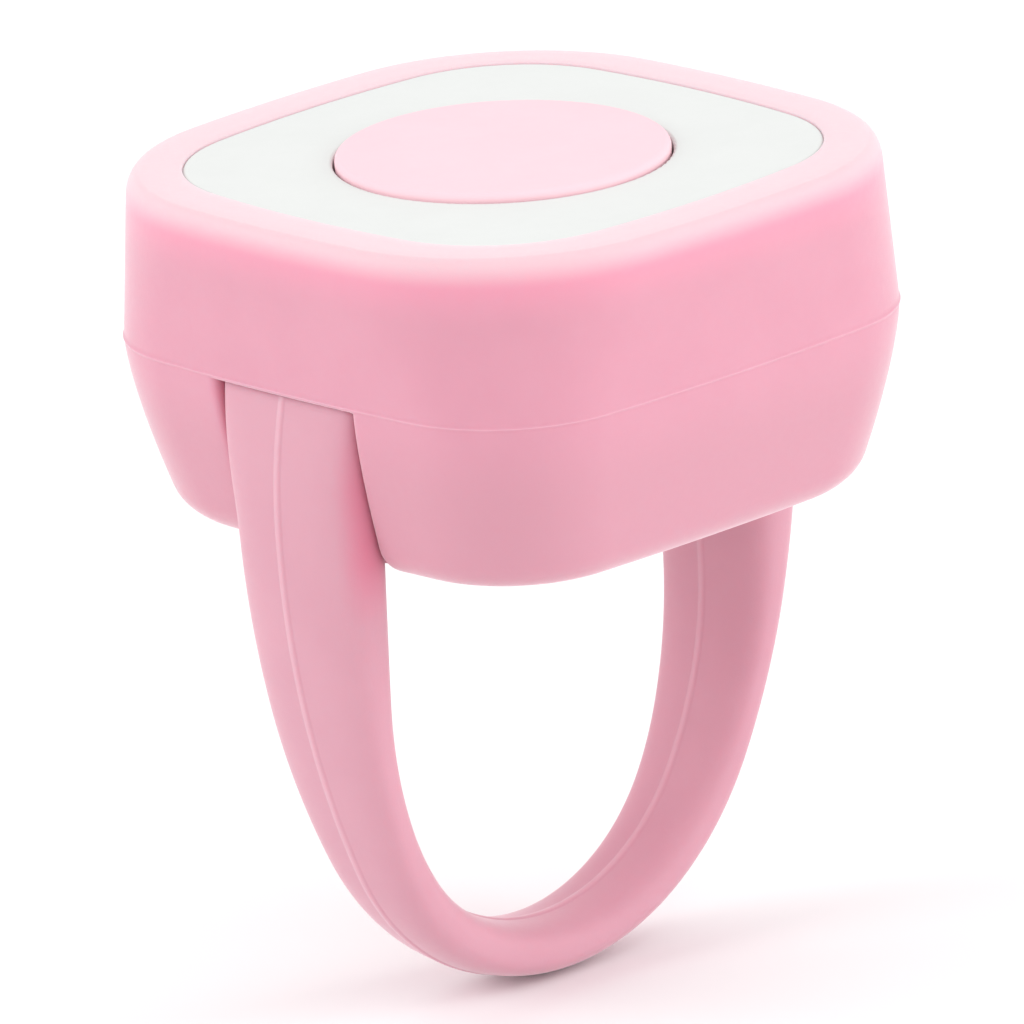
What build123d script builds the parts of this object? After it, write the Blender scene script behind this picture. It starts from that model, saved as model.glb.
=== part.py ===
"""Clicker trainer worn on a finger: a soft square body with a push button, on an elastic finger loop.

Millimetres, +Z up. The origin is the centre of the round seat that holds the finger, +Y runs along
the finger, and the loop's legs rise on the -X and +X sides of the body.
"""

import os
from math import atan2, cos, pi, sin, sqrt

from build123d import *

# How far a cut runs past the face that it opens, how far a boss runs into the wall that carries it,
# and the gap left between hard pieces that rest on each other.
past, root, rest_gap = 1.0, 0.2, 0.03

# Soft body: a square with bowed sides and very round corners, widest at the top rim.
base_z = 9.9
parting_z = 18.2
rim_z = 25.75
rim_half, rim_corner, rim_bow = 15.0, 10.2, 80.0
parting_half, parting_corner, parting_bow = 14.4, 6.6, 124.0
base_half, base_corner, base_bow = 12.45, 6.0, 167.0
belly_power = 1.34
belly_steps = 5
rim_rounding = 0.8
base_rounding = 1.4
parting_ridge_out, parting_ridge_height = 0.12, 0.4
sleeve_floor_top = 11.2

# White face plate let into the rim, with a round hole for the button.
plate_half, plate_corner, plate_bow = 12.35, 6.7, 54.0
plate_top, plate_thickness = 25.7, 1.75
plate_gap, plate_edge_rounding = 0.05, 0.15
plate_ledge_z = 23.85

# Push button.
button_r, button_gap, button_proud = 7.5, 0.1, 0.35
button_edge_rounding, button_skin = 0.3, 1.5
button_hollow_r, stem_collar_r = 6.2, 2.9
flange_r, flange_bottom, flange_height = 8.6, 22.8, 1.1
stem_r, stem_bottom, stem_tip_rounding = 2.0, 21.0, 0.4
button_travel = 0.9

# Hard case inside the soft body.
case_half, case_corner, case_wall, case_floor = 10.75, 5.0, 1.2, 1.2
case_bottom, case_top = 11.25, 23.9
case_gap = 0.1
screw_reach = 7.3
pillar_r, pillar_top = 1.9, 17.4
boss_r, boss_bottom, boss_hole_top = 1.5, 17.5, 23.2
case_screw_r, case_screw_head_r, case_screw_head = 0.7, 1.35, 0.9
case_screw_top, case_screw_seat = 21.0, 12.25
boss_hole_gap, pillar_hole_gap, head_gap = 0.02, 0.15, 0.1

# Click plate: a sprung steel strip clamped at its -X end, with a dimple under the button's stem.
strip_half_width, strip_thickness = 4.0, 0.35
strip_left, strip_right, strip_clamp_end = -9.2, 6.5, -5.8
ledge_top, ledge_half, strip_crown_z, strip_end_drop = 19.4, 5.0, 20.27, 0.5
strip_z = ledge_top + rest_gap
dimple_r, dimple_rise = 1.5, 0.33
anvil_r = 2.2
anvil_top = strip_crown_z - button_travel - 0.07
clamp_bottom = strip_z + strip_thickness + rest_gap
clamp_height, clamp_half, clamp_corner = 1.0, 4.6, 0.6
clamp_screw_y, clamp_screw_x = 2.6, -7.5
clamp_screw_r, clamp_screw_head_r, clamp_screw_head = 0.6, 1.1, 0.6
clamp_screw_bottom = 16.0
clamp_screw_seat = clamp_bottom + clamp_height + rest_gap

# Elastic finger loop: its inner and outer face each have a round bottom, a side that curves up to the
# face's widest place, and a top that leans back in from there.
seat_r = 9.8
loop_thickness = 2.48
leg_inner_x, leg_inner_z, leg_inner_lean = 10.97, 4.0, 0.0
leg_outer_x, leg_outer_z, leg_outer_lean = 14.96, 12.4, 0.7
leg_top_z = 18.1

# Each edge of the loop, seen from the side, is one smooth curve from a narrow parallel strap at the bottom
# to a wide top. These are the half widths of its control points, which are evenly spaced in height.
loop_edge_halves = (2.2, 2.2, 4.0, 3.7, 4.2)
loop_edge_bottom, loop_edge_top = -13.0, 18.5
loop_edge_rounding = 0.95
seam_out, seam_root, seam_width = 0.12, 0.5, 0.5
notch_half = 4.4
tongue_inner, tongue_outer, tongue_half = 11.05, 12.65, 3.6
cross_bar_half, cross_bar_bottom, cross_bar_top = 5.4, 20.8, 22.6
pocket_gap = 0.1


def bowed_square(half, corner, bow):
    """A square of four bowed sides and four round corners, all tangent, centred on the origin."""
    reach = bow - half
    centre = (sqrt(2 * (bow - corner) ** 2 - reach**2) - reach) / 2
    turn = atan2(centre, centre + reach)
    side_end = (half - bow + bow * cos(turn), bow * sin(turn))
    corner_middle = centre + corner * cos(pi / 4)
    side = ThreePointArc((side_end[0], -side_end[1]), (half, 0), side_end)
    round_corner = ThreePointArc(side_end, (corner_middle, corner_middle), (side_end[1], side_end[0]))
    edges = [edge.rotate(Axis.Z, 90 * quarter) for quarter in range(4) for edge in (side, round_corner)]
    return make_face(edges)


def prism(half, corner, bow, bottom, top):
    return extrude(Pos(0, 0, bottom) * bowed_square(half, corner, bow), amount=top - bottom)


def block(x_range, y_range, z_range):
    """A box given by its limits along each axis."""
    sizes = [high - low for low, high in (x_range, y_range, z_range)]
    middles = [(low + high) / 2 for low, high in (x_range, y_range, z_range)]
    return Pos(*middles) * Box(*sizes)


def rounded_block(half, corner, bottom, top):
    """An upright square block with straight sides and round corners, centred on the Z axis."""
    return extrude(Pos(0, 0, bottom) * RectangleRounded(2 * half, 2 * half, corner), amount=top - bottom)


def disc(radius, bottom, top, x=0.0, y=0.0):
    return Pos(x, y, (bottom + top) / 2) * Cylinder(radius, top - bottom)


def both_sides(shape):
    """The shape on the +X side and its mirror image on the -X side."""
    return shape + shape.mirror(Plane.YZ)


def make_body_envelope():
    """The soft body's outside, solid all through."""
    parting = Pos(0, 0, parting_z) * bowed_square(parting_half, parting_corner, parting_bow)
    rim = Pos(0, 0, rim_z) * bowed_square(rim_half, rim_corner, rim_bow)
    upper = loft([parting, rim])
    upper = fillet(upper.faces().sort_by(Axis.Z)[-1].edges(), rim_rounding)

    sections = []
    for step in range(belly_steps + 1):
        share = step / belly_steps
        half = parting_half - (parting_half - base_half) * share**belly_power
        corner = parting_corner + (base_corner - parting_corner) * share
        bow = parting_bow + (base_bow - parting_bow) * share
        height = parting_z - (parting_z - base_z) * share
        sections.append(Pos(0, 0, height) * bowed_square(half, corner, bow))
    lower = loft(sections)
    lower = fillet(lower.faces().sort_by(Axis.Z)[0].edges(), base_rounding)

    ridge = prism(
        parting_half + parting_ridge_out, parting_corner + parting_ridge_out, parting_bow,
        parting_z - parting_ridge_height / 2, parting_z + parting_ridge_height / 2,
    )
    return upper + lower + ridge


def make_sleeve():
    pocket_half, pocket_corner = plate_half + plate_gap, plate_corner + plate_gap
    plate_pocket = prism(pocket_half, pocket_corner, plate_bow, plate_ledge_z, rim_z + past)
    cavity = rounded_block(case_half + case_gap, case_corner + case_gap, sleeve_floor_top, rim_z + past)
    notch_x = (case_half + case_gap, rim_half + past)
    notch = block(notch_x, (-notch_half, notch_half), (base_z - past, parting_z))
    tongue_pocket = block(
        (case_half, tongue_outer + pocket_gap),
        (-tongue_half - pocket_gap, tongue_half + pocket_gap),
        (parting_z - root, cross_bar_top),
    )
    bar_pocket = block(
        (case_half, tongue_outer + pocket_gap),
        (-cross_bar_half - pocket_gap, cross_bar_half + pocket_gap),
        (cross_bar_bottom - pocket_gap, cross_bar_top + pocket_gap),
    )
    return make_body_envelope() - plate_pocket - cavity - both_sides(notch + tongue_pocket + bar_pocket)


def loop_line(bottom_radius, widest_x, widest_z, lean):
    """The right half of one face of the loop, from the middle of its bottom to its top, and that top.

    A bottom arc about the origin meets a side arc that stands upright at the face's widest place. Above
    that, the face leans in towards the body as another arc, or goes straight up if it has no lean.
    """
    half_turn = atan2(widest_x - bottom_radius, widest_z)
    meeting_angle = pi / 2 - 2 * half_turn
    side_radius = bottom_radius + widest_z / cos(meeting_angle)
    meeting = (bottom_radius * sin(meeting_angle), -bottom_radius * cos(meeting_angle))
    widest = (widest_x, widest_z)
    top = (widest_x - lean, leg_top_z)
    bottom_arc = RadiusArc((0, -bottom_radius), meeting, -bottom_radius)
    side_arc = RadiusArc(meeting, widest, -side_radius)
    upper = TangentArc(widest, top, tangent=(0, 1)) if lean else Line(widest, top)
    return [bottom_arc, side_arc, upper], top


def loop_band(inner, outer):
    """The loop's face in its own plane, between the lines of two faces."""
    inner_edges, inner_top = loop_line(*inner)
    outer_edges, outer_top = loop_line(*outer)
    right = inner_edges + outer_edges + [Line(inner_top, outer_top)]
    return Plane.XZ * make_face(right + [edge.mirror(Plane.YZ) for edge in right])


def make_finger_ring():
    inner = (seat_r, leg_inner_x, leg_inner_z, leg_inner_lean)
    outer = (seat_r + loop_thickness, leg_outer_x, leg_outer_z, leg_outer_lean)
    band = extrude(loop_band(inner, outer), amount=notch_half, both=True)

    spacing = (loop_edge_top - loop_edge_bottom) / (len(loop_edge_halves) - 1)
    controls = [(half, loop_edge_bottom + spacing * step) for step, half in enumerate(loop_edge_halves)]
    right_edge = Bezier(*controls)
    bottom_half, top_half = loop_edge_halves[0], loop_edge_halves[-1]
    side_view = make_face([
        right_edge,
        right_edge.mirror(Plane.YZ),
        Line((top_half, loop_edge_top), (-top_half, loop_edge_top)),
        Line((-bottom_half, loop_edge_bottom), (bottom_half, loop_edge_bottom)),
    ])
    ring = band & extrude(Plane.YZ * side_view, amount=leg_outer_x + past, both=True)
    long_edges = ring.edges().filter_by(lambda edge: edge.center().Z < leg_top_z - root)
    ring = fillet(long_edges, loop_edge_rounding)

    seam_outer = (outer[0] + seam_out, outer[1] + seam_out, *outer[2:])
    seam_inner = (outer[0] - seam_root, outer[1] - seam_root, *outer[2:])
    seam = extrude(loop_band(seam_inner, seam_outer), amount=seam_width / 2, both=True)

    tongue_x = (tongue_inner, tongue_outer)
    tongue = block(tongue_x, (-tongue_half, tongue_half), (leg_top_z - 3 * root, cross_bar_top))
    cross_bar = block(tongue_x, (-cross_bar_half, cross_bar_half), (cross_bar_bottom, cross_bar_top))
    return ring + seam + both_sides(tongue + cross_bar)


def screw_places():
    return [(screw_reach * x, screw_reach * y) for x, y in ((-1, -1), (1, -1), (1, 1), (-1, 1))]


def clamp_screw_places():
    return [(clamp_screw_x, -clamp_screw_y), (clamp_screw_x, clamp_screw_y)]


def make_face_plate():
    plate = prism(plate_half, plate_corner, plate_bow, plate_top - plate_thickness, plate_top)
    plate = fillet(plate.faces().sort_by(Axis.Z)[-1].edges(), plate_edge_rounding)
    plate -= disc(button_r + button_gap, plate_top - plate_thickness - past, plate_top + past)
    hole_edge = plate.edges().filter_by(GeomType.CIRCLE).group_by(Axis.Z)[-1]
    plate = fillet(hole_edge, plate_edge_rounding)
    for x, y in screw_places():
        plate += disc(boss_r, boss_bottom, plate_top - plate_thickness + root, x, y)
        plate -= disc(case_screw_r + boss_hole_gap, boss_bottom - past, boss_hole_top, x, y)
    return plate


def make_button():
    top = plate_top + button_proud
    cap = disc(button_r, flange_bottom, top)
    cap = fillet(cap.edges().group_by(Axis.Z)[-1], button_edge_rounding)
    cap += disc(flange_r, flange_bottom, flange_bottom + flange_height)
    hollow = disc(button_hollow_r, flange_bottom - past, top - button_skin)
    cap -= hollow - disc(stem_collar_r, flange_bottom - past, top)
    stem = disc(stem_r, stem_bottom, top - button_skin)
    return cap + fillet(stem.edges().group_by(Axis.Z)[0], stem_tip_rounding)


def make_case():
    floor_top = case_bottom + case_floor
    shell = rounded_block(case_half, case_corner, case_bottom, case_top)
    shell -= rounded_block(case_half - case_wall, case_corner - case_wall, floor_top, case_top + past)
    shell += disc(anvil_r, floor_top - root, anvil_top)
    ledge_x = (root - case_half, strip_clamp_end + root)
    shell += block(ledge_x, (-ledge_half, ledge_half), (floor_top - root, ledge_top))
    for x, y in clamp_screw_places():
        shell -= disc(clamp_screw_r + boss_hole_gap, clamp_screw_bottom - root, ledge_top + past, x, y)
    for x, y in screw_places():
        shell += disc(pillar_r, floor_top - root, pillar_top, x, y)
        shell -= disc(case_screw_r + pillar_hole_gap, case_bottom - past, pillar_top + past, x, y)
        shell -= disc(case_screw_head_r + head_gap, case_bottom - past, case_screw_seat + rest_gap, x, y)
    return shell


def make_click_plate():
    """Flat under the clamp, then a shallow arch over the anvil with its free end turned down."""
    free_end_z = strip_crown_z - strip_end_drop
    lower_line = [
        Line((strip_left, strip_z), (strip_clamp_end, strip_z)),
        Spline(
            [(strip_clamp_end, strip_z), (0, strip_crown_z), (strip_right, free_end_z)],
            tangents=[(1, 0), (1, -0.25)],
        ),
    ]
    upper_line = [edge.moved(Location((0, strip_thickness, 0))) for edge in lower_line]
    ends = [
        Line((x, height), (x, height + strip_thickness))
        for x, height in ((strip_left, strip_z), (strip_right, free_end_z))
    ]
    profile = make_face(lower_line + upper_line + ends)
    strip = extrude(Plane.XZ * profile, amount=strip_half_width, both=True)

    ball_r = (dimple_r**2 + dimple_rise**2) / (2 * dimple_rise)
    crown_top = strip_crown_z + strip_thickness
    ball_z = crown_top + dimple_rise - ball_r
    dome = Pos(0, 0, ball_z) * (Sphere(ball_r) - Sphere(ball_r - strip_thickness))
    strip -= disc(dimple_r - root, strip_crown_z - past, crown_top + past)
    strip += dome & disc(dimple_r, strip_crown_z - root, crown_top + past)
    for x, y in clamp_screw_places():
        strip -= disc(clamp_screw_r + head_gap, strip_z - past, strip_z + past, x, y)
    return strip


def make_clamp_bar():
    top = clamp_bottom + clamp_height
    bar = block((strip_left, strip_clamp_end), (-clamp_half, clamp_half), (clamp_bottom, top))
    bar = fillet(bar.edges().filter_by(Axis.Z), clamp_corner)
    for x, y in clamp_screw_places():
        bar -= disc(clamp_screw_r + head_gap, clamp_bottom - past, top + past, x, y)
    return bar


def make_screw(shank_r, head_r, head_height, length):
    """A cross-recessed pan head screw: its head's underside is at the origin and its shank hangs down."""
    head = fillet(disc(head_r, 0, head_height).edges().group_by(Axis.Z)[-1], 0.3 * head_height)
    for turn in (0, 90):
        head -= Pos(0, 0, head_height) * Rot(0, 0, turn) * Box(1.3 * head_r, 0.25 * head_r, 0.8 * head_height)
    shank = chamfer(disc(shank_r, -length, root).edges().group_by(Axis.Z)[0], 0.4 * shank_r)
    return head + shank


def make_case_screws():
    """Four screws put in from below, through the case's pillars and into the face plate's bosses."""
    screw = make_screw(case_screw_r, case_screw_head_r, case_screw_head, case_screw_top - case_screw_seat)
    upside_down = Rot(180, 0, 0) * screw
    return Compound([Pos(x, y, case_screw_seat) * upside_down for x, y in screw_places()])


def make_clamp_screws():
    length = clamp_screw_seat - clamp_screw_bottom
    screw = make_screw(clamp_screw_r, clamp_screw_head_r, clamp_screw_head, length)
    return Compound([Pos(x, y, clamp_screw_seat) * screw for x, y in clamp_screw_places()])


nodes = {
    "silicone_sleeve": make_sleeve(),
    "finger_ring": make_finger_ring(),
    "face_plate": make_face_plate(),
    "button_cap": make_button(),
    "lower_case": make_case(),
    "click_plate": make_click_plate(),
    "clamp_bar": make_clamp_bar(),
    "clamp_screws": make_clamp_screws(),
    "case_screws": make_case_screws(),
}

os.makedirs("parts", exist_ok=True)
for name, shape in nodes.items():
    export_step(shape, f"parts/{name}.step")
    box = shape.bounding_box()
    print(name, len(shape.solids()), "solid(s)", round(shape.volume, 1), "mm3", box.min, box.max)
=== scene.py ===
"""The looks of the finger clicker: soft silicone skin and loop as meshes, materials, light and camera."""

from math import asin, atan2, comb, cos, pi, radians, sin, sqrt

import bmesh
import bpy
from mathutils import Matrix, Vector


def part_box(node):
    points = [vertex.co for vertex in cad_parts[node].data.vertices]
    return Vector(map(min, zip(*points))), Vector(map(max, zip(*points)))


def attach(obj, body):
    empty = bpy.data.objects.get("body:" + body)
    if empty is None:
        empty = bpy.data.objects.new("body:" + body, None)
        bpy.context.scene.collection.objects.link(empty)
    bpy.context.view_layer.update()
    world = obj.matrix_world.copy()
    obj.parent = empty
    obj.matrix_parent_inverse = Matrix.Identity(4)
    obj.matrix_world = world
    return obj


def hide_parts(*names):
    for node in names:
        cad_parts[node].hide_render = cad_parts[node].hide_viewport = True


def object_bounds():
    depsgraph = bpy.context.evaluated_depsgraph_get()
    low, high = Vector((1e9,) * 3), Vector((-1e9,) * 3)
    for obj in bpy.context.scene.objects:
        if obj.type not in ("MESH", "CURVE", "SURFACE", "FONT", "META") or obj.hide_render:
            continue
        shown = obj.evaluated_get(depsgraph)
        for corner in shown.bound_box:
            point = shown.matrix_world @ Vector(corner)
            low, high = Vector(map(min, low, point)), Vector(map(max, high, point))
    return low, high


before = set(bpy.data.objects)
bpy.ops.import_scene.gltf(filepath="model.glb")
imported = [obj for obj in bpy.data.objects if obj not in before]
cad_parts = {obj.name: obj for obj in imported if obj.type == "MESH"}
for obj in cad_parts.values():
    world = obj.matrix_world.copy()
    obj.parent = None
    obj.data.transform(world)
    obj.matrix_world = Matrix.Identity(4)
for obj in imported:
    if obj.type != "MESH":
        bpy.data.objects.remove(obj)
cad_low, cad_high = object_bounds()

# Shapes are worked out in millimetres, in the CAD's own frame, and meshes are made in metres.
MM = 0.001
sleeve_low, sleeve_high = (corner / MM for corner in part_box("silicone_sleeve"))
_, plate_high = (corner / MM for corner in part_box("face_plate"))
case_low, case_high = (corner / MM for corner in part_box("lower_case"))

# The soft body: (half width, corner radius, bow radius of the sides) at three heights.
BASE_Z, RIM_Z = sleeve_low.z, sleeve_high.z
PARTING_Z = 18.2
RIM = (15.0, 10.2, 80.0)
PARTING = (14.4, 6.6, 124.0)
BASE = (12.45, 6.0, 167.0)
BELLY_POWER = 1.34
RIM_INSET, RIM_DROP, BASE_ROUNDING = 0.6, 1.0, 1.4
RIDGE_OUT, RIDGE_HALF = 0.05, 0.09

# The pocket that holds the face plate, and the cavity that holds the case.
PLATE_GAP, CASE_GAP = 0.01, 0.1
LEDGE_DEPTH, CAVITY_FLOOR_GAP = 1.85, 0.05
POCKET = (plate_high.x + PLATE_GAP, 6.72, 54.0)
LEDGE_Z = plate_high.z - LEDGE_DEPTH
CAVITY = (case_high.x + CASE_GAP, 5.1, 4000.0)
CAVITY_Z = case_low.z - CAVITY_FLOOR_GAP
INNER_EDGE = 0.06

# The recesses for the loop's legs, in the -X and +X sides below the parting line. They narrow by the taper
# on each side towards the base. The body counts as fully tucked in from the tuck depth on.
NOTCH_HALF = 4.34
NOTCH_TAPER = 0.42
NOTCH_WALL = 0.05
TUCK_DEPTH = 0.8
NOTCH_X = CAVITY[0] + NOTCH_WALL
NOTCH_EDGE = 0.34
# Points nearer than this, in millimetres, are one point.
SAME_PLACE = 0.001

# The finger loop's inner and outer face: radius of the round bottom, widest place (x, z), and how far
# the top leans back in above that.
LOOP_INNER = (9.8, 10.97, 4.0, 0.0)
LOOP_OUTER = (12.28, 14.96, 12.4, 0.7)
LEG_TOP_Z = 18.02
SEAM_OUT, SEAM_HALF = 0.07, 0.21


def new_mesh(name, vertices, faces, smooth=True):
    mesh = bpy.data.meshes.new(name)
    mesh.from_pydata([tuple(c * MM for c in v) for v in vertices], [], faces)
    mesh.validate()
    mesh.update()
    if smooth:
        mesh.shade_smooth()
    piece = bpy.data.objects.new(name, mesh)
    bpy.context.scene.collection.objects.link(piece)
    return piece


def paint(piece, name, values):
    """One number for each vertex, which the materials read as an attribute."""
    attribute = piece.data.attributes.new(name, "FLOAT", "POINT")
    attribute.data.foreach_set("value", values)


def join_doubles(piece):
    """Joins points that fall on each other, as some do at a recess's ceiling and where it's shallow."""
    mesh = bmesh.new()
    mesh.from_mesh(piece.data)
    bmesh.ops.remove_doubles(mesh, verts=mesh.verts, dist=SAME_PLACE * MM)
    mesh.to_mesh(piece.data)
    mesh.free()


def mix(a, b, share):
    return a + (b - a) * share


def mix_all(a, b, share):
    return tuple(mix(x, y, share) for x, y in zip(a, b))


# ---------------------------------------------------------------- the soft body


def bow_end(shape):
    """Half angle of a side's bow, and the corner centre's distance along each axis."""
    half, corner, bow = shape
    reach = bow - half
    centre = (sqrt(2 * (bow - corner) ** 2 - reach**2) - reach) / 2
    return atan2(centre, centre + reach), centre


# Columns from the middle of a side to its corner: a sideways place on a plain row, the same on a row
# through the recess, and how deep the recess may be there. Past them, columns run round the corner.
NOTCH_DEEP = 9.0
FLOOR_COLUMNS = [(y, y, NOTCH_DEEP) for y in (0.0, 0.6, 1.2, 1.8, 2.4, 3.0, 3.4, 3.75)]
WALL_STEPS = [
    (-0.39, -0.16, NOTCH_DEEP), (-0.31, 0.0, NOTCH_DEEP), (-0.23, 0.0, 2.2),
    (-0.15, 0.0, 1.2), (-0.07, 0.0, 0.6), (0.0, 0.0, NOTCH_EDGE),
    (0.07, 0.1 * NOTCH_EDGE, 0.62 * NOTCH_EDGE), (0.13, 0.3 * NOTCH_EDGE, 0.3 * NOTCH_EDGE),
    (0.19, 0.62 * NOTCH_EDGE, 0.1 * NOTCH_EDGE), (0.27, NOTCH_EDGE, 0.0),
]
WALL_COLUMNS = [(NOTCH_HALF + plain, NOTCH_HALF + notched, depth) for plain, notched, depth in WALL_STEPS]
SIDE_COLUMNS = FLOOR_COLUMNS + WALL_COLUMNS + [(y, y, 0.0) for y in (4.8, 5.0, 5.2)]
SIDE_REACH = SIDE_COLUMNS[-1][0]
CORNER_STEPS = 20


def octant(shape, recessed, narrowing):
    """Points from a side's middle to the corner's, as (out, sideways, recess depth allowed)."""
    half, corner, bow = shape
    turn, centre = bow_end(shape)
    points = []
    for plain, notched, depth in SIDE_COLUMNS:
        sideways = notched if recessed else plain
        if recessed and plain > FLOOR_COLUMNS[-1][0] and plain < SIDE_COLUMNS[-3][0]:
            sideways -= narrowing
        points.append((half - bow + sqrt(bow**2 - sideways**2), sideways, depth))
    start = asin(SIDE_REACH / bow)
    side_length, corner_length = bow * (turn - start), corner * (pi / 4 - turn)
    for step in range(1, CORNER_STEPS + 1):
        along = (side_length + corner_length) * step / CORNER_STEPS
        if along < side_length:
            angle = start + along / bow
            points.append((half - bow + bow * cos(angle), bow * sin(angle), 0.0))
        else:
            angle = turn + (along - side_length) / corner
            points.append((centre + corner * cos(angle), centre + corner * sin(angle), 0.0))
    return points


def shrink(shape, inset):
    return tuple(size - inset for size in shape)


def upper_shape(height):
    return mix_all(PARTING, RIM, (height - PARTING_Z) / (RIM_Z - PARTING_Z))


def belly_shape(height):
    share = (PARTING_Z - height) / (PARTING_Z - BASE_Z)
    half = mix(PARTING[0], BASE[0], share**BELLY_POWER)
    return (half, mix(PARTING[1], BASE[1], share), mix(PARTING[2], BASE[2], share))


def without_recess(rows):
    """Rows that don't meet the recesses: (shape, plain height, height in the recess, depth allowed)."""
    return [(shape, height, height, 0.0, 0.0) for shape, height in rows]


def sleeve_rows():
    """From the cavity's floor up its wall, over the rim and down the outside to the base."""
    rows = [(shrink(CAVITY, 0.4), CAVITY_Z), (shrink(CAVITY, 0.1), CAVITY_Z + 0.1), (CAVITY, CAVITY_Z + 0.4)]
    rows += [(CAVITY, mix(CAVITY_Z, LEDGE_Z, share)) for share in (0.3, 0.6, 0.97)]
    rows += [(CAVITY, LEDGE_Z), (mix_all(CAVITY, POCKET, 0.5), LEDGE_Z), (POCKET, LEDGE_Z)]
    rows += [(POCKET, mix(LEDGE_Z, RIM_Z, share)) for share in (0.1, 0.5, 0.85)]
    inner_shape = tuple(size + INNER_EDGE for size in POCKET)
    for step in range(5):
        angle = pi / 2 * step / 4
        drop = INNER_EDGE * (1 - sin(angle))
        rows.append((shrink(inner_shape, INNER_EDGE * cos(angle)), RIM_Z - drop))
    crown = shrink(RIM, RIM_INSET)
    rows += [(mix_all(inner_shape, crown, share), RIM_Z) for share in (0.3, 0.65)]
    for step in range(12):
        angle = pi / 2 * (1 - step / 11)
        height = RIM_Z - RIM_DROP * (1 - sin(angle))
        rows.append((shrink(upper_shape(height), RIM_INSET * (1 - cos(angle))), height))
    top_of_side = RIM_Z - RIM_DROP
    for step in range(1, 13):
        height = mix(top_of_side, PARTING_Z + 0.3, step / 12)
        rows.append((upper_shape(height), height))
    rows = without_recess(rows)

    for place in (-1.0, -0.6, -0.25, 0.0, 0.25, 0.6, 1.0):
        height = PARTING_Z - place * RIDGE_HALF
        bulge = RIDGE_OUT * (1 - place**2)
        shape = upper_shape(height) if place < 0 else belly_shape(height)
        rows.append((shrink(shape, -bulge), height, height, 0.0, max(0.0, 1 - 2 * abs(place))))

    ceiling = PARTING_Z - RIDGE_HALF - 0.03
    ceiling_rows = [
        (0.05, 0.02, 0.1 * NOTCH_EDGE), (0.1, 0.0, 0.5 * NOTCH_EDGE),
        (0.16, 0.0, 1.5 * NOTCH_EDGE), (0.23, 0.0, 0.9), (0.3, 0.0, 1.8),
        (0.37, 0.0, NOTCH_DEEP), (0.44, 0.16, NOTCH_DEEP), (0.6, 0.5, NOTCH_DEEP),
    ]
    for plain_drop, notch_drop, depth in ceiling_rows:
        height = ceiling - plain_drop
        rows.append((belly_shape(height), height, ceiling - notch_drop, depth, 0.0))
    first, last = ceiling - 0.9, BASE_Z + BASE_ROUNDING
    for step in range(15):
        height = mix(first, last, step / 14)
        rows.append((belly_shape(height), height, height, NOTCH_DEEP, 0.0))
    for step in range(1, 11):
        angle = pi / 2 * step / 10
        height = last - BASE_ROUNDING * sin(angle)
        shape = shrink(belly_shape(height), BASE_ROUNDING * (1 - cos(angle)))
        rows.append((shape, height, height, NOTCH_DEEP, 0.0))
    return rows


def sleeve_row(shape, height, notch_height, depth):
    """One closed loop of points round the body, counterclockwise from the middle of the +X side.

    With it comes how far each point is tucked into a recess, from 0 to 1.
    """
    loop, tucked = [], []
    narrowing = NOTCH_TAPER * (PARTING_Z - height) / (PARTING_Z - BASE_Z)
    for side in range(4):
        recessed = side % 2 == 0 and depth > 0
        half_side = []
        for out, sideways, allowed in octant(shape, recessed, narrowing):
            deep = min(depth, allowed, max(0.0, out - NOTCH_X)) if recessed else 0.0
            in_notch = min(1.0, allowed / NOTCH_EDGE) if recessed else 0.0
            z = mix(height, notch_height, in_notch)
            half_side.append((out - deep, sideways, z, min(1.0, deep / TUCK_DEPTH)))
        mirrored = [(out, -sideways, z, tuck) for out, sideways, z, tuck in half_side[1:-1]]
        around = mirrored[::-1] + half_side
        c, s = round(cos(side * pi / 2)), round(sin(side * pi / 2))
        loop += [(x * c - y * s, x * s + y * c, z) for x, y, z, _ in around]
        tucked += [tuck for _, _, _, tuck in around]
    return loop, tucked


def make_sleeve():
    vertices, ridge, tucked, faces = [(0.0, 0.0, CAVITY_Z)], [0.0], [0.0], []
    rows = sleeve_rows()
    for shape, height, notch_height, depth, on_ridge in rows:
        loop, tucks = sleeve_row(shape, height, notch_height, depth)
        count = len(loop)
        tucked += tucks
        vertices += loop
        ridge += [on_ridge] * count
    vertices.append((0.0, 0.0, BASE_Z))
    ridge.append(0.0)
    tucked.append(0.0)
    last = len(vertices) - 1
    for i in range(count):
        j = (i + 1) % count
        faces.append((0, 1 + i, 1 + j))
        bottom = 1 + (len(rows) - 1) * count
        faces.append((last, bottom + j, bottom + i))
        for row in range(len(rows) - 1):
            a, b = 1 + row * count, 1 + (row + 1) * count
            faces.append((a + i, b + i, b + j, a + j))
    sleeve = new_mesh("sleeve_skin", vertices, faces)
    paint(sleeve, "raised", ridge)
    paint(sleeve, "tucked", tucked)
    join_doubles(sleeve)
    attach(sleeve, "housing")
    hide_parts("silicone_sleeve")
    return sleeve


# ---------------------------------------------------------------- the finger loop


def loop_point(face, share):
    """A point of one face of the loop, from the bottom's middle (0) to the right leg's top (1)."""
    bottom_radius, widest_x, widest_z, lean = face
    meeting = pi / 2 - 2 * atan2(widest_x - bottom_radius, widest_z)
    side_radius = bottom_radius + widest_z / cos(meeting)
    bottom_length, side_length = bottom_radius * meeting, side_radius * (pi / 2 - meeting)
    upper_length = LEG_TOP_Z - widest_z
    along = share * (bottom_length + side_length + upper_length)
    if along < bottom_length:
        angle = along / bottom_radius
        return bottom_radius * sin(angle), -bottom_radius * cos(angle)
    along -= bottom_length
    if along < side_length:
        angle = meeting + along / side_radius
        return widest_x - side_radius * (1 - sin(angle)), widest_z - side_radius * cos(angle)
    along -= side_length
    return widest_x - lean * (along / upper_length) ** 2, widest_z + along


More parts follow.
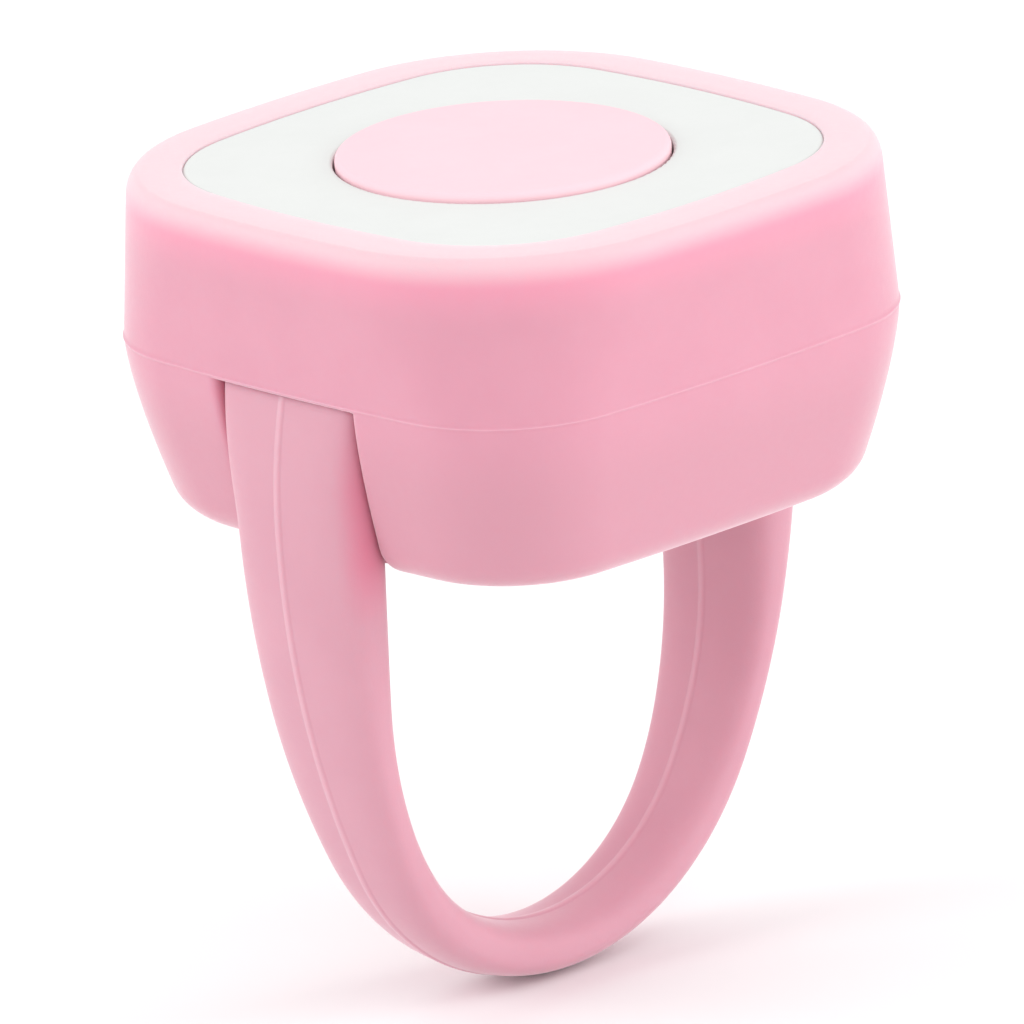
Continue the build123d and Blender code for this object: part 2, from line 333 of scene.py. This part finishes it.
# The loop's edge seen from the side, as in the CAD: the half widths of the curve's control points, which
# are evenly spaced in height.
LOOP_EDGE_HALVES = (2.2, 2.2, 4.0, 3.7, 4.2)
LOOP_EDGE_BOTTOM, LOOP_EDGE_TOP = -13.0, 18.5
# The section is a soft oval that turns squarer inside the recess, from this height to the top.
SOFT_SQUARENESS, TOP_SQUARENESS, SQUARER_FROM = 2.5, 6.5, 11.0
LOOP_STEPS = 110
FLAT_PLACES = [0.0, 0.04, 0.08, 0.12, 0.16, 0.21, 0.32, 0.6]
EDGE_PLACES = 14


def loop_half_width(height):
    """Half the loop's width at a height, on one smooth curve from its bottom to its top."""
    share = (height - LOOP_EDGE_BOTTOM) / (LOOP_EDGE_TOP - LOOP_EDGE_BOTTOM)
    last = len(LOOP_EDGE_HALVES) - 1
    return sum(
        comb(last, k) * share**k * (1 - share) ** (last - k) * half for k, half in enumerate(LOOP_EDGE_HALVES)
    )


def loop_squareness(height):
    share = max(0.0, (height - SQUARER_FROM) / (LOOP_EDGE_TOP - SQUARER_FROM))
    return mix(SOFT_SQUARENESS, TOP_SQUARENESS, share**2)


def section_quarter(half_thick, half_wide, squareness):
    """From the middle of the outer face to the edge: (out, sideways, how far up the mould seam)."""
    points = []
    for sideways in FLAT_PLACES:
        out = half_thick * (1 - (sideways / half_wide) ** squareness) ** (1 / squareness)
        seam = max(0.0, 1 - (sideways / SEAM_HALF) ** 2)
        points.append((out + SEAM_OUT * seam, sideways, seam))
    first = asin(min(1.0, (FLAT_PLACES[-1] / half_wide) ** (squareness / 2)))
    for step in range(1, EDGE_PLACES + 1):
        angle = mix(first, pi / 2, step / EDGE_PLACES)
        out = half_thick * max(0.0, cos(angle)) ** (2 / squareness)
        points.append((out, half_wide * sin(angle) ** (2 / squareness), 0.0))
    return points


def loop_section(centre, outward, half_thick, half_wide, squareness):
    quarter = section_quarter(half_thick, half_wide, squareness)
    half = quarter + [(-out, sideways, seam) for out, sideways, seam in quarter[-2::-1]]
    around = half + [(out, -sideways, seam) for out, sideways, seam in half[-2:0:-1]]
    points = [
        (centre[0] + outward[0] * out, sideways, centre[1] + outward[1] * out)
        for out, sideways, _ in around
    ]
    return points, [seam for _, _, seam in around]


# Where the loop is tucked in: from this share of its half width out to its edge, from this far below the
# base, fading in over a height there and fading out over another height below the parting line.
TUCK_FROM, TUCK_POWER = 0.78, 1.5
TUCK_BELOW, TUCK_FADE_IN, TUCK_FADE_OUT = 2.2, 3.0, 4.0


def loop_tuck(share_of_width, height):
    """How far a point of the loop is tucked against a recess's wall, from 0 to 1."""
    beside_wall = min(1.0, max(0.0, (share_of_width - TUCK_FROM) / (1 - TUCK_FROM)))
    within_body = min(1.0, max(0.0, (height - BASE_Z + TUCK_BELOW) / TUCK_FADE_IN))
    below_top = min(1.0, max(0.0, (PARTING_Z - height) / TUCK_FADE_OUT))
    return beside_wall**TUCK_POWER * within_body * below_top


def make_finger_loop():
    vertices, seams, tucked, faces = [], [], [], []
    for step in range(-LOOP_STEPS, LOOP_STEPS + 1):
        share = abs(step) / LOOP_STEPS
        side = -1 if step < 0 else 1
        inner = loop_point(LOOP_INNER, share)
        outer = loop_point(LOOP_OUTER, share)
        centre = (side * (inner[0] + outer[0]) / 2, (inner[1] + outer[1]) / 2)
        across = (side * (outer[0] - inner[0]), outer[1] - inner[1])
        thickness = sqrt(across[0] ** 2 + across[1] ** 2)
        outward = (across[0] / thickness, across[1] / thickness)
        half_wide = loop_half_width(centre[1])
        squareness = loop_squareness(centre[1])
        points, seam = loop_section(centre, outward, thickness / 2, half_wide, squareness)
        vertices += points
        seams += seam
        tucked += [loop_tuck(abs(y) / half_wide, z) for _, y, z in points]
    count = len(points)
    stations = 2 * LOOP_STEPS + 1
    for station in range(stations - 1):
        a, b = station * count, (station + 1) * count
        for i in range(count):
            j = (i + 1) % count
            faces.append((a + i, a + j, b + j, b + i))
    faces.append(tuple(range(count))[::-1])
    faces.append(tuple(range((stations - 1) * count, stations * count)))
    ring = new_mesh("finger_loop", vertices, faces)
    paint(ring, "raised", seams)
    paint(ring, "tucked", tucked)
    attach(ring, "housing")
    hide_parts("finger_ring")
    return ring


# ---------------------------------------------------------------- materials


class Nodes:
    """A material's node tree, with short ways to add and join nodes."""

    def __init__(self, name):
        self.material = bpy.data.materials.new(name)
        self.material.use_nodes = True
        self.tree = self.material.node_tree
        self.shader = self.tree.nodes["Principled BSDF"]
        place = self.add("ShaderNodeTexCoord")
        self.place = place.outputs["Object"]

    def add(self, kind, **settings):
        node = self.tree.nodes.new(kind)
        for key, value in settings.items():
            setattr(node, key, value)
        return node

    def link(self, source, target):
        self.tree.links.new(source, target)

    def set(self, **values):
        for key, value in values.items():
            self.shader.inputs[key.replace("_", " ")].default_value = value

    def noise(self, size_mm, detail=2.0, roughness=0.5):
        node = self.add("ShaderNodeTexNoise")
        node.inputs["Scale"].default_value = 1 / (size_mm * MM)
        node.inputs["Detail"].default_value = detail
        node.inputs["Roughness"].default_value = roughness
        self.link(self.place, node.inputs["Vector"])
        return node.outputs["Fac"]

    def range(self, value, low, high, to_low, to_high, curve="LINEAR"):
        node = self.add("ShaderNodeMapRange", interpolation_type=curve)
        for key, number in zip(("From Min", "From Max", "To Min", "To Max"), (low, high, to_low, to_high)):
            node.inputs[key].default_value = number
        self.link(value, node.inputs["Value"])
        return node.outputs["Result"]

    def blend(self, share, a, b):
        """A colour between a and b, each a colour or a socket."""
        node = self.add("ShaderNodeMix", data_type="RGBA")
        self.link(share, node.inputs[0])
        for socket, colour in ((node.inputs[6], a), (node.inputs[7], b)):
            if isinstance(colour, bpy.types.NodeSocket):
                self.link(colour, socket)
            else:
                socket.default_value = (*colour, 1.0)
        return node.outputs[2]

    def bump(self, height, distance_mm, strength=1.0, under=None):
        node = self.add("ShaderNodeBump")
        node.inputs["Strength"].default_value = strength
        node.inputs["Distance"].default_value = distance_mm * MM
        self.link(height, node.inputs["Height"])
        if under is not None:
            self.link(under, node.inputs["Normal"])
        return node.outputs["Normal"]


def make_silicone(name, base, deep, light, sheen, gloss, painted_bands):
    """Soft-touch silicone: faint mottling, a fine matt skin and raised mould lines made paler by a painted
    highlight.

    Each painted band is a colour, the height where it starts to show and the height where it's full. The
    bands are painted shade and a painted highlight on the rim's edge, and the richer pink where the loop is
    tucked in is painted shade; all stay the same in any light.
    """
    nodes = Nodes(name)
    mottle = nodes.range(nodes.noise(4.0, 3.0), 0.35, 0.65, 0.0, 1.0)
    colour = nodes.blend(mottle, base, deep)
    height = nodes.add("ShaderNodeSeparateXYZ")
    nodes.link(nodes.place, height.inputs["Vector"])
    # Painted shade and painted highlight, in bands by height.
    for band_colour, start, end in painted_bands:
        share = nodes.range(height.outputs["Z"], start * MM, end * MM, 0.0, 1.0, "SMOOTHSTEP")
        colour = nodes.blend(share, colour, band_colour)
    tucked = nodes.add("ShaderNodeAttribute", attribute_name="tucked")
    colour = nodes.blend(tucked.outputs["Fac"], colour, PINK_TUCKED)
    # Painted highlight: the raised mould lines are mixed towards the light colour, standing in for the light
    # they catch.
    raised = nodes.add("ShaderNodeAttribute", attribute_name="raised")
    seam_highlight_share = nodes.range(raised.outputs["Fac"], 0.2, 1.0, 0.0, 0.2)
    colour = nodes.blend(seam_highlight_share, colour, light)
    nodes.link(colour, nodes.shader.inputs["Base Color"])
    roughness = nodes.range(nodes.noise(0.35, 3.0), 0.3, 0.7, 0.5, 0.62)
    nodes.link(roughness, nodes.shader.inputs["Roughness"])
    skin = nodes.bump(nodes.noise(0.12, 3.0, 0.6), 0.012, 0.5)
    waves = nodes.bump(nodes.noise(2.2, 2.0), 0.02, 0.35, skin)
    nodes.link(waves, nodes.shader.inputs["Normal"])
    nodes.set(IOR=1.43)
    nodes.shader.inputs["Specular IOR Level"].default_value = gloss
    nodes.shader.inputs["Sheen Weight"].default_value = sheen
    nodes.shader.inputs["Sheen Roughness"].default_value = 0.35
    nodes.shader.inputs["Sheen Tint"].default_value = (1.0, 0.92, 0.94, 1.0)
    nodes.shader.inputs["Subsurface Weight"].default_value = 0.35
    nodes.shader.inputs["Subsurface Radius"].default_value = (1.0, 0.4, 0.45)
    nodes.shader.inputs["Subsurface Scale"].default_value = 0.0012
    return nodes.material


def make_plastic(name, base, deep, roughness_low, roughness_high, grain_mm):
    """Moulded plastic with a fine spark-eroded grain."""
    nodes = Nodes(name)
    mottle = nodes.range(nodes.noise(3.0, 2.0), 0.35, 0.65, 0.0, 1.0)
    nodes.link(nodes.blend(mottle, base, deep), nodes.shader.inputs["Base Color"])
    roughness = nodes.range(nodes.noise(0.6, 3.0), 0.3, 0.7, roughness_low, roughness_high)
    nodes.link(roughness, nodes.shader.inputs["Roughness"])
    nodes.link(nodes.bump(nodes.noise(grain_mm, 3.0, 0.6), 0.006, 0.5), nodes.shader.inputs["Normal"])
    nodes.shader.inputs["IOR"].default_value = 1.49
    nodes.shader.inputs["Specular IOR Level"].default_value = 0.35
    return nodes.material


def make_steel(name, base, brushing):
    """Bright steel with a fine grain, which runs in lines along the axis where brushing is smallest."""
    nodes = Nodes(name)
    stretch = nodes.add("ShaderNodeMapping")
    stretch.inputs["Scale"].default_value = brushing
    nodes.link(nodes.place, stretch.inputs["Vector"])
    lines = nodes.add("ShaderNodeTexNoise")
    lines.inputs["Scale"].default_value = 1 / (0.1 * MM)
    nodes.link(stretch.outputs["Vector"], lines.inputs["Vector"])
    dark = tuple(c * 0.82 for c in base)
    nodes.link(nodes.blend(lines.outputs["Fac"], base, dark), nodes.shader.inputs["Base Color"])
    nodes.link(nodes.range(lines.outputs["Fac"], 0.3, 0.7, 0.22, 0.38), nodes.shader.inputs["Roughness"])
    nodes.link(nodes.bump(lines.outputs["Fac"], 0.004, 0.4), nodes.shader.inputs["Normal"])
    nodes.set(Metallic=1.0)
    return nodes.material


def finish_node(name, material):
    """Puts the material in every slot of a CAD node."""
    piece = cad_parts[name]
    if not piece.data.materials:
        piece.data.materials.append(material)
    for slot in piece.material_slots:
        slot.material = material


# ---------------------------------------------------------------- stage, light and camera


VIEW_AZIMUTH, VIEW_ELEVATION, VIEW_ROLL = -43.75, 17.3, -3.08
VIEW_DISTANCE = 1000.0
VIEW_LENS = 788.5
VIEW_TARGET_Z, VIEW_RIGHT, VIEW_UP = 12.2, -0.454, -3.02

# Softboxes: turn from the camera's own direction, elevation (degrees), distance, size (metres), power (W).
SOFTBOXES = [
    ("left_softbox", -80.0, 25.0, 0.7, 0.4, 1.38),
    ("right_softbox", 80.0, 25.0, 0.7, 0.4, 0.95),
    ("low_right_softbox", 60.0, 8.0, 0.7, 0.3, 0.85),
]


WORLD_STRENGTH = 1.04
FLOOR_HALF = 4000.0
FLOOR_WHITE = (0.93, 0.93, 0.93)


def direction(azimuth, elevation):
    """Towards a place round the object: azimuth 0 is the -Y side."""
    a, e = radians(azimuth), radians(elevation)
    return Vector((sin(a) * cos(e), -cos(a) * cos(e), sin(e)))


def make_light(name, turn, elevation, distance, size, power):
    data = bpy.data.lights.new(name, "AREA")
    data.shape = "DISK"
    data.size = size
    data.energy = power
    light = bpy.data.objects.new(name, data)
    bpy.context.scene.collection.objects.link(light)
    towards = direction(VIEW_AZIMUTH + turn, elevation)
    light.location = (cad_low + cad_high) / 2 + towards * distance
    light.rotation_mode = "QUATERNION"
    light.rotation_quaternion = towards.to_track_quat("Z", "Y")


def make_stage():
    scene = bpy.context.scene
    scene.view_settings.view_transform = "Standard"
    world = bpy.data.worlds.new("studio")
    world.use_nodes = True
    background = world.node_tree.nodes["Background"]
    background.inputs["Color"].default_value = (1.0, 1.0, 1.0, 1.0)
    background.inputs["Strength"].default_value = WORLD_STRENGTH
    scene.world = world

    floor_z = cad_low.z / MM
    turns = ((-1, -1), (1, -1), (1, 1), (-1, 1))
    corners = [(x * FLOOR_HALF, y * FLOOR_HALF, floor_z) for x, y in turns]
    floor = new_mesh("floor", corners, [(0, 1, 2, 3)], smooth=False)
    nodes = Nodes("floor_white")
    nodes.set(Roughness=0.9)
    nodes.shader.inputs["Base Color"].default_value = (*FLOOR_WHITE, 1.0)
    floor.data.materials.append(nodes.material)

    for name, turn, elevation, distance, size, power in SOFTBOXES:
        make_light(name, turn, elevation, distance, size, power)


def make_camera():
    """A long lens from the front corner, a little above, tipped slightly to the left."""
    back = direction(VIEW_AZIMUTH, VIEW_ELEVATION)
    right = Vector((0, 0, 1)).cross(back).normalized()
    up = back.cross(right)
    target = Vector((0, 0, VIEW_TARGET_Z)) + right * VIEW_RIGHT + up * VIEW_UP
    place = (target + back * VIEW_DISTANCE) * MM
    roll = radians(VIEW_ROLL)
    tipped_right = right * cos(roll) + up * sin(roll)
    tipped_up = up * cos(roll) - right * sin(roll)
    data = bpy.data.cameras.new("camera")
    data.sensor_width = 36.0
    data.lens = VIEW_LENS
    data.clip_start, data.clip_end = 0.01, 20.0
    camera = bpy.data.objects.new("camera", data)
    bpy.context.scene.collection.objects.link(camera)
    axes = Matrix((tipped_right, tipped_up, back)).transposed()
    camera.matrix_world = Matrix.Translation(place) @ axes.to_4x4()
    bpy.context.scene.camera = camera


# The last colour is a painted highlight for the raised mould lines.
PINK, PINK_DEEP, PINK_SEAM_HIGHLIGHT = (0.665, 0.303, 0.388), (0.65, 0.292, 0.376), (0.85, 0.58, 0.64)
# Painted shading: the richer pink deep in the recesses.
PINK_TUCKED = (0.70, 0.235, 0.33)
LOOP_PINK, LOOP_DEEP = (0.632, 0.325, 0.396), (0.617, 0.312, 0.383)

# Painted shade and highlight too, not known pigment: a little deeper pink under the parting line, warmer near
# the rim, and a painted highlight that makes its thin edge pale.
PAINTED_BODY_SHADE_AND_HIGHLIGHT = [
    ((0.615, 0.287, 0.36), 18.6, 14.0),
    ((0.77, 0.303, 0.41), RIM_Z - 3.2, RIM_Z - 0.4),
    ((0.76, 0.525, 0.575), RIM_Z - 1.4, RIM_Z - 0.1),
]
sleeve = make_sleeve()
ring = make_finger_loop()
silicone = make_silicone("pink_silicone_skin", PINK, PINK_DEEP, PINK_SEAM_HIGHLIGHT, 0.84, 0.4, PAINTED_BODY_SHADE_AND_HIGHLIGHT)
loop_silicone = make_silicone("loop_silicone_skin", LOOP_PINK, LOOP_DEEP, PINK_SEAM_HIGHLIGHT, 0.55, 0.2, [])
sleeve.data.materials.append(silicone)
ring.data.materials.append(loop_silicone)
white_abs = make_plastic("white_abs", (0.725, 0.74, 0.725), (0.715, 0.73, 0.715), 0.5, 0.6, 0.1)
pale_pink_abs = make_plastic("pale_pink_abs", (0.93, 0.61, 0.67), (0.92, 0.6, 0.66), 0.55, 0.65, 0.1)
finish_node("face_plate", white_abs)
finish_node("button_cap", pale_pink_abs)
finish_node("lower_case", make_plastic("case_abs", (0.72, 0.72, 0.71), (0.70, 0.70, 0.69), 0.4, 0.5, 0.15))
finish_node("click_plate", make_steel("spring_steel", (0.62, 0.62, 0.65), (1.0, 8.0, 8.0)))
finish_node("clamp_bar", make_steel("bar_steel", (0.55, 0.55, 0.57), (8.0, 1.0, 8.0)))
screw_steel = make_steel("screw_steel", (0.5, 0.5, 0.53), (4.0, 4.0, 4.0))
finish_node("clamp_screws", screw_steel)
finish_node("case_screws", screw_steel)
make_stage()
make_camera()
